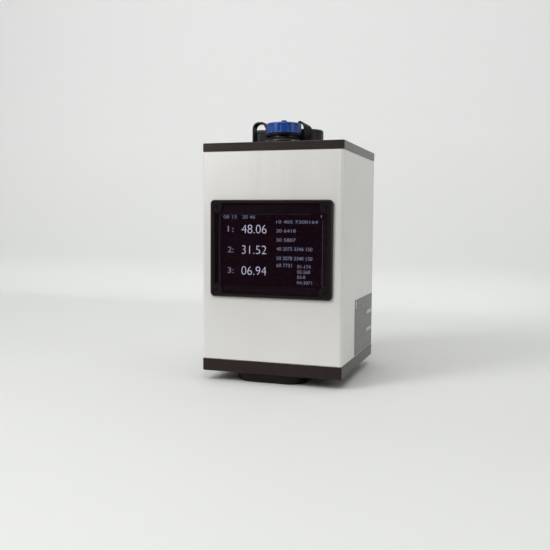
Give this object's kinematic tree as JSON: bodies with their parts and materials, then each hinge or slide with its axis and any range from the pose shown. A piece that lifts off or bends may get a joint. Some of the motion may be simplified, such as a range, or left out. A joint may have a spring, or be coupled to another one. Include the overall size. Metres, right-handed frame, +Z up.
{
  "type": "non-contact color meter",
  "caption": "Upright bench colour meter: silver housing, black end plates, framed front display, measuring hood below, capped signal socket and lidded network port on top.",
  "frame": {"origin": "centre of the measuring aperture's mouth, in the plane that the hood stands on", "axes": "+Z up along the optical axis, -Y out of the display, +X to the right of someone who faces the display"},
  "size_m": [0.1003, 0.1055, 0.1833],
  "materials": {
    "anodised_silver": "satin anodised",
    "anodised_black": "satin anodised",
    "moulded_black": "fine moulded texture",
    "cap_blue": "satin",
    "rubber_black": "matte",
    "cover_glass": "gloss",
    "display": "gloss",
    "label_film": "matte",
    "steel_black": "black oxide",
    "steel": "satin",
    "optical_glass": "gloss",
    "optics_black": "matte anodised",
    "circuit_board": "solder mask",
    "component": "matte",
    "led_lens": "gloss",
    "brass": "plated",
    "plain_aluminium": "milled",
    "ribbon_film": "satin",
    "harness_sleeve": "matte"
  },
  "bodies": {
    "housing": {"housing_tube": "anodised_silver", "top_plate": "anodised_black", "base_plate": "anodised_black", "top_gasket": "rubber_black", "base_gasket": "rubber_black", "top_plate_screws": "steel_black", "base_plate_screws": "steel_black", "display_bezel": "anodised_black", "bezel_gasket": "rubber_black", "bezel_screws": "steel_black", "display_window": "cover_glass", "lcd_panel": "display", "display_board": "circuit_board", "display_standoffs": "brass", "display_ribbon": "ribbon_film", "rating_label": "label_film", "aperture_hood": "anodised_black", "hood_screws": "steel_black", "window_seal": "rubber_black", "optical_window": "optical_glass", "window_retainer": "optics_black", "led_board_standoffs": "brass", "led_ring_board": "circuit_board", "illumination_leds": "led_lens", "light_baffle": "optics_black", "optics_barrel": "optics_black", "objective_lens": "optical_glass", "lens_retainer": "optics_black", "optics_posts": "steel", "optics_bracket": "plain_aluminium", "sensor_board_posts": "brass", "sensor_board": "circuit_board", "spectral_sensor": "component", "sensor_ribbon": "ribbon_film", "chassis_plate": "plain_aluminium", "main_board_standoffs": "brass", "main_board": "circuit_board", "processor_chips": "component", "interface_board": "circuit_board", "interface_standoffs": "brass", "network_jack": "moulded_black", "mounting_nut_plate": "steel", "tether_base": "rubber_black", "signal_socket": "moulded_black", "socket_insert": "moulded_black", "socket_contacts": "brass", "socket_locknut": "moulded_black", "signal_harness": "harness_sleeve", "tether_strap_left": "rubber_black", "tether_strap_right": "rubber_black", "port_housing": "moulded_black", "port_screws": "steel_black", "port_seal": "rubber_black", "lid_hinge_pin": "steel"},
    "tether_collar": {"tether_ring": "rubber_black"},
    "cap": {"dust_cap": "cap_blue", "cap_seal": "rubber_black", "cap_rivet": "cap_blue"},
    "lid": {"port_lid": "moulded_black"}
  },
  "joints": [
    {"name": "cap_lift", "type": "slide", "parent": "housing", "child": "tether_collar", "axis": [0, 0, 1], "range_m": [0, 0.014], "deforming": ["tether_strap_left", "tether_strap_right"]},
    {"name": "cap_turn", "type": "hinge", "parent": "tether_collar", "child": "cap", "pos_m": [-0.0009, -0.021, 0.1755], "axis": [0, 0, 1], "range_deg": [0, 45]},
    {"name": "port_lid_hinge", "type": "hinge", "parent": "housing", "child": "lid", "pos_m": [-0.0059, 0.0242, 0.1761], "axis": [-1, 0, 0], "range_deg": [0, 110]}
  ]
}
